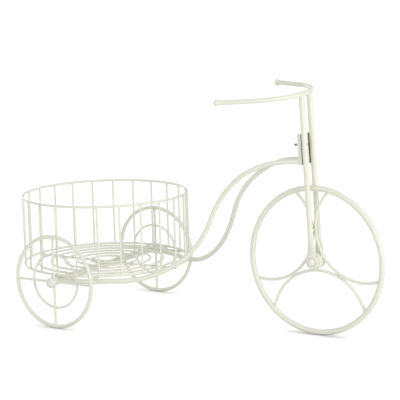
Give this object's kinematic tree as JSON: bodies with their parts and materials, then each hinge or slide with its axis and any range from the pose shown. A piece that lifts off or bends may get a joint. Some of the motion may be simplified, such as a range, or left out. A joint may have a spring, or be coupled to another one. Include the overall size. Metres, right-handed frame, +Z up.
{
  "type": "plant stand",
  "caption": "Tricycle-shaped wire planter stand: round basket between two small rear wheels, swept tube frame, tall front wheel and bow handlebar.",
  "frame": {"origin": "middle of the footprint, on the floor the wheels stand on", "axes": "+X forward to the tall front wheel, +Y to the stand's left, +Z up"},
  "size_m": [0.5872, 0.2884, 0.3472],
  "materials": {
    "ivory_enamel": "thick ivory enamel, semi-gloss, slightly uneven over the rods",
    "cap_plastic": "pale grey moulded caps, semi-gloss",
    "bare_steel": "zinc plated, dull"
  },
  "bodies": {
    "frame": {"basket_top_ring": "ivory_enamel", "basket_bottom_ring": "ivory_enamel", "basket_upright_01": "ivory_enamel", "basket_upright_02": "ivory_enamel", "basket_upright_03": "ivory_enamel", "basket_upright_04": "ivory_enamel", "basket_upright_05": "ivory_enamel", "basket_upright_06": "ivory_enamel", "basket_upright_07": "ivory_enamel", "basket_upright_08": "ivory_enamel", "basket_upright_09": "ivory_enamel", "basket_upright_10": "ivory_enamel", "basket_upright_11": "ivory_enamel", "basket_upright_12": "ivory_enamel", "basket_upright_13": "ivory_enamel", "basket_upright_14": "ivory_enamel", "basket_upright_15": "ivory_enamel", "basket_upright_16": "ivory_enamel", "basket_upright_17": "ivory_enamel", "basket_upright_18": "ivory_enamel", "basket_upright_19": "ivory_enamel", "basket_upright_20": "ivory_enamel", "basket_upright_21": "ivory_enamel", "basket_upright_22": "ivory_enamel", "basket_upright_23": "ivory_enamel", "basket_upright_24": "ivory_enamel", "basket_floor_ring_1": "ivory_enamel", "basket_floor_ring_2": "ivory_enamel", "basket_floor_ring_3": "ivory_enamel", "basket_floor_ring_4": "ivory_enamel", "basket_floor_ring_5": "ivory_enamel", "basket_floor_cross": "ivory_enamel", "rear_axle": "ivory_enamel", "rear_axle_cap_left": "cap_plastic", "rear_axle_cap_right": "cap_plastic", "frame_tube_left": "ivory_enamel", "frame_tube_right": "ivory_enamel", "frame_plate": "ivory_enamel", "bracket_bolt": "bare_steel", "fork_plate": "ivory_enamel", "fork_leg_left": "ivory_enamel", "fork_leg_right": "ivory_enamel", "handlebar": "ivory_enamel", "handlebar_ball_left": "ivory_enamel", "handlebar_ball_right": "ivory_enamel", "front_axle": "bare_steel", "front_cap_nut_left": "cap_plastic", "front_cap_nut_right": "cap_plastic"},
    "front_wheel": {"front_wheel_rim": "ivory_enamel", "front_wheel_hub": "ivory_enamel", "front_wheel_arc_1": "ivory_enamel", "front_wheel_arc_2": "ivory_enamel", "front_wheel_arc_3": "ivory_enamel"},
    "rear_wheel_left": {"rear_wheel_rim_left": "ivory_enamel", "rear_wheel_ring_left": "ivory_enamel", "rear_wheel_spider_left": "ivory_enamel"},
    "rear_wheel_right": {"rear_wheel_rim_right": "ivory_enamel", "rear_wheel_ring_right": "ivory_enamel", "rear_wheel_spider_right": "ivory_enamel"}
  },
  "joints": [
    {"name": "front_wheel_spin", "type": "hinge", "parent": "frame", "child": "front_wheel", "pos_m": [0.18777, 0, 0.1058], "axis": [0, 1, 0], "continuous": true},
    {"name": "rear_wheel_left_spin", "type": "hinge", "parent": "frame", "child": "rear_wheel_left", "pos_m": [-0.16977, 0.1313, 0.0686], "axis": [0, 1, 0], "continuous": true},
    {"name": "rear_wheel_right_spin", "type": "hinge", "parent": "frame", "child": "rear_wheel_right", "pos_m": [-0.16977, -0.1313, 0.0686], "axis": [0, 1, 0], "continuous": true}
  ]
}
